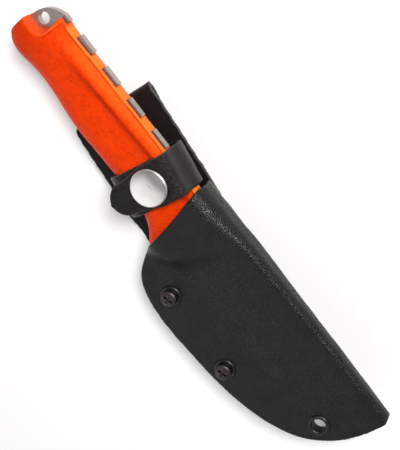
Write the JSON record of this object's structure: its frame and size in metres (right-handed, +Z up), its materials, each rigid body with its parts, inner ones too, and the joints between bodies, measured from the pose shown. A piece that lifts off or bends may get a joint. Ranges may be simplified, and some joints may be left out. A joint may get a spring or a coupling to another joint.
{
  "type": "sheathed fixed-blade knife",
  "caption": "Fixed-blade knife with an orange full-tang handle in a folded plastic sheath, held by a snap strap on a leather belt hanger.",
  "frame": {"origin": "middle of the flat back of the belt loop, where the assembly rests", "axes": "+X along the knife from the handle's butt to the sheath's tip, +Y towards the spine, +Z up through the snap's cap"},
  "size_m": [0.215, 0.0565, 0.0376],
  "materials": {
    "sheath_sheet": "fine haircell grain, satin",
    "black_eyelet": "black, half gloss",
    "black_screw": "black oxide, satin",
    "spacer_rubber": "matte",
    "hanger_leather": "smooth, satin",
    "thread": "waxed",
    "strap_leather": "pebble grain, satin",
    "rivet_metal": "black, satin",
    "nickel": "satin nickel",
    "steel": "satin",
    "core_orange": "smooth, satin",
    "skin_orange": "leather-like grain, satin"
  },
  "bodies": {
    "sheath": {"sheath_shell": "sheath_sheet", "eyelet_upper": "black_eyelet", "eyelet_lower": "black_eyelet", "eyelet_tip": "black_eyelet", "screw_upper": "black_screw", "screw_lower": "black_screw", "post_upper": "black_screw", "post_lower": "black_screw", "spacer_upper": "spacer_rubber", "spacer_lower": "spacer_rubber", "belt_hanger": "hanger_leather", "loop_stitching": "thread", "strap_back": "strap_leather", "strap_rivets": "rivet_metal", "rivet_caps": "rivet_metal", "strap_stud_leaf": "strap_leather", "snap_stud": "nickel", "snap_post": "nickel"},
    "knife": {"blade": "steel", "handle_core": "core_orange", "grip_skin": "skin_orange"},
    "snap_flap": {"strap_snap_flap": "strap_leather", "snap_cap": "nickel", "snap_socket": "nickel"}
  },
  "joints": [
    {"name": "knife_draw", "type": "slide", "parent": "sheath", "child": "knife", "axis": [-1, 0, 0], "range_m": [0, 0.125], "deforming": ["strap_stud_leaf"]},
    {"name": "snap_flap", "type": "hinge", "parent": "sheath", "child": "snap_flap", "pos_m": [0.00413, 0.02054, 0.02329], "axis": [-0.9885, 0.1513, 0], "range_deg": [0, 105]}
  ]
}
